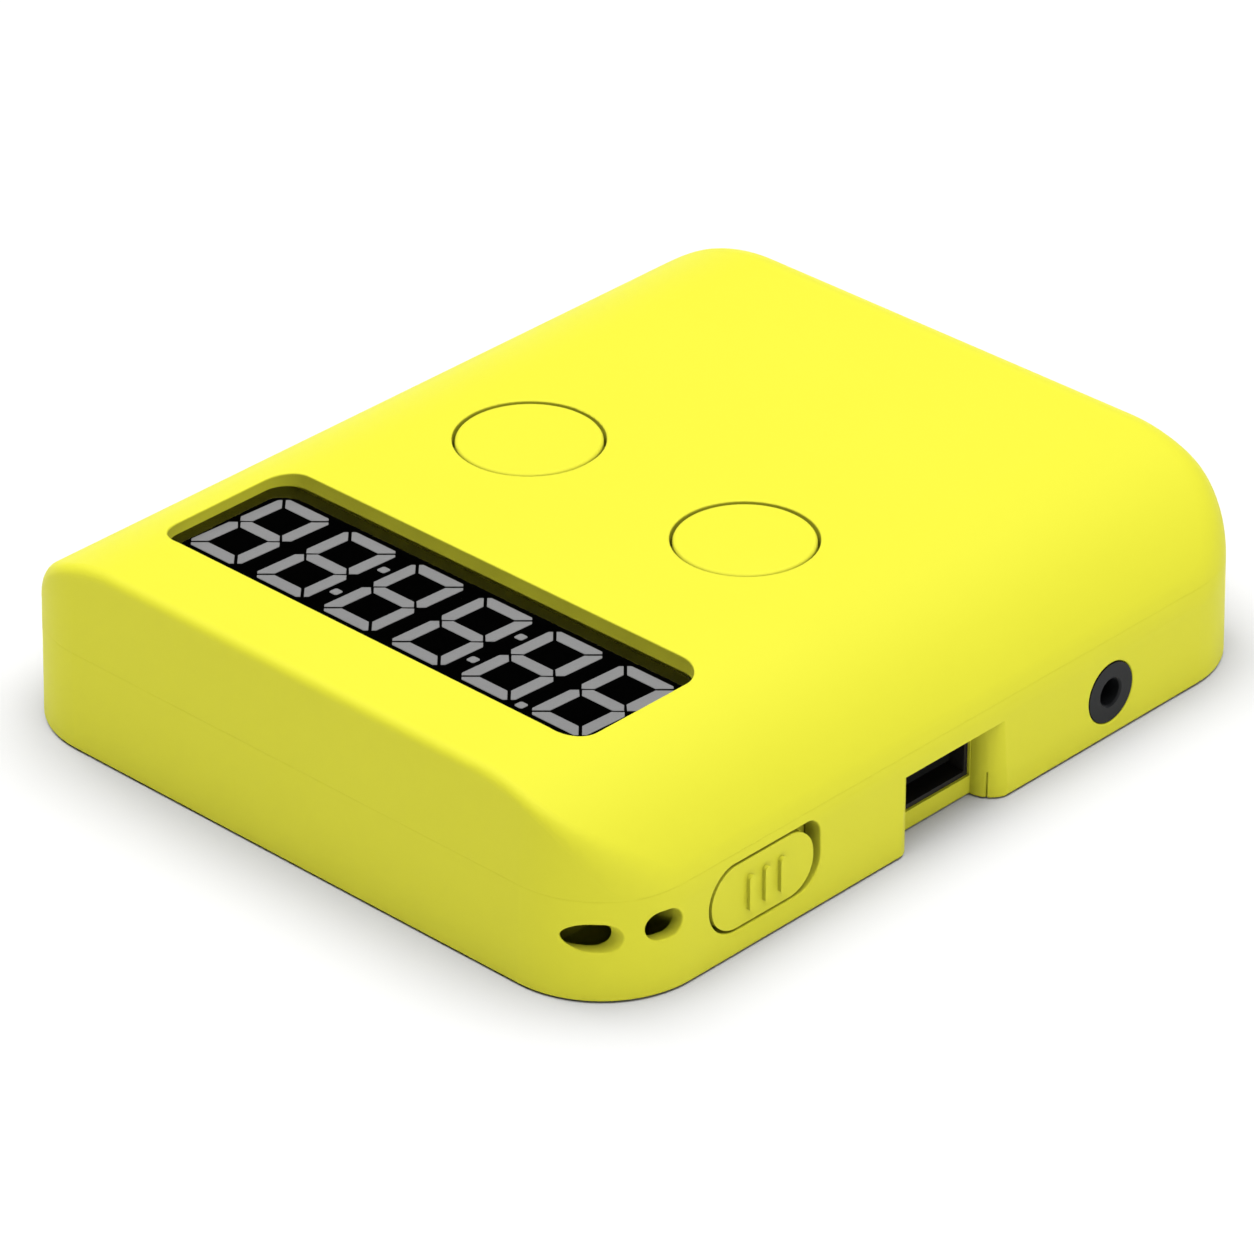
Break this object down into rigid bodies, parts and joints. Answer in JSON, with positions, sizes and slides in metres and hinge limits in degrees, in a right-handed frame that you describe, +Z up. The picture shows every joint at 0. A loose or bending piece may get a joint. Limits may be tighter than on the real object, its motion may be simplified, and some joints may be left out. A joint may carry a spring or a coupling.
{
  "type": "speed cube timer",
  "caption": "Pocket timer with a recessed digit display, two sprung push buttons, a power slide, a recessed socket, a round data jack and lanyard holes.",
  "frame": {"origin": "under the middle of the case, on the surface that its rubber feet stand on", "axes": "+Z up, -Y towards the reader on the display's side, +X to the right, where the power slide, the socket and the jack are"},
  "size_m": [0.0752, 0.087, 0.0193],
  "materials": {
    "case_plastic": "fine satin moulding, lemon yellow",
    "clear_window": "gloss, clear acrylic",
    "display_dark": "gloss black liquid crystal panel",
    "display_grey": "satin grey segments",
    "white_plastic": "satin",
    "strip_rubber": "soft, striped",
    "board_green": "solder mask over glass fibre",
    "black_plastic": "satin",
    "jack_plastic": "fine satin, near black",
    "tin": "tinned steel",
    "dark_steel": "blackened steel sheet",
    "screw_steel": "zinc plated",
    "gilt": "gold plated copper",
    "ceramic": "fired ceramic with tinned ends",
    "silicone": "translucent silicone rubber",
    "carbon": "conductive rubber",
    "foot_rubber": "matt black rubber",
    "cell_jacket": "printed film over steel",
    "red_wire": "PVC",
    "black_wire": "PVC"
  },
  "bodies": {
    "case": {"top_shell": "case_plastic", "bottom_shell": "case_plastic", "left_button_dome": "silicone", "right_button_dome": "silicone", "contact_pads": "gilt", "display_window": "clear_window", "lcd_panel": "display_dark", "lcd_segments": "display_grey", "lcd_frame": "white_plastic", "zebra_strips": "strip_rubber", "main_board": "board_green", "board_screws": "screw_steel", "controller_chip": "black_plastic", "crystal": "tin", "capacitors": "ceramic", "board_link": "black_plastic", "side_board": "board_green", "side_board_screws": "screw_steel", "switch_body": "tin", "usb_shell": "dark_steel", "usb_tongue": "black_plastic", "usb_contacts": "gilt", "data_jack_body": "jack_plastic", "data_jack_springs": "tin", "front_battery": "cell_jacket", "back_battery": "cell_jacket", "battery_plates": "tin", "battery_springs": "tin", "red_battery_wire": "red_wire", "black_battery_wire": "black_wire", "case_screws": "screw_steel", "rubber_feet": "foot_rubber"},
    "left_button": {"left_button": "case_plastic", "left_contact_pill": "carbon"},
    "right_button": {"right_button": "case_plastic", "right_contact_pill": "carbon"},
    "power_slide": {"slide_knob": "case_plastic", "switch_lever": "black_plastic"},
    "battery_cover": {"battery_cover": "case_plastic"}
  },
  "joints": [
    {"name": "left_press", "type": "slide", "parent": "case", "child": "left_button", "axis": [0, 0, -1], "range_m": [0, 0.001], "stiffness_N_per_m": 1500, "deforming": ["left_button_dome"]},
    {"name": "right_press", "type": "slide", "parent": "case", "child": "right_button", "axis": [0, 0, -1], "range_m": [0, 0.001], "stiffness_N_per_m": 1500, "deforming": ["right_button_dome"]},
    {"name": "power_slide", "type": "slide", "parent": "case", "child": "power_slide", "axis": [0, 1, 0], "range_m": [0, 0.0007]},
    {"name": "battery_cover_removal", "type": "slide", "parent": "case", "child": "battery_cover", "axis": [0, 0, -1], "range_m": [0, 0.02]}
  ]
}
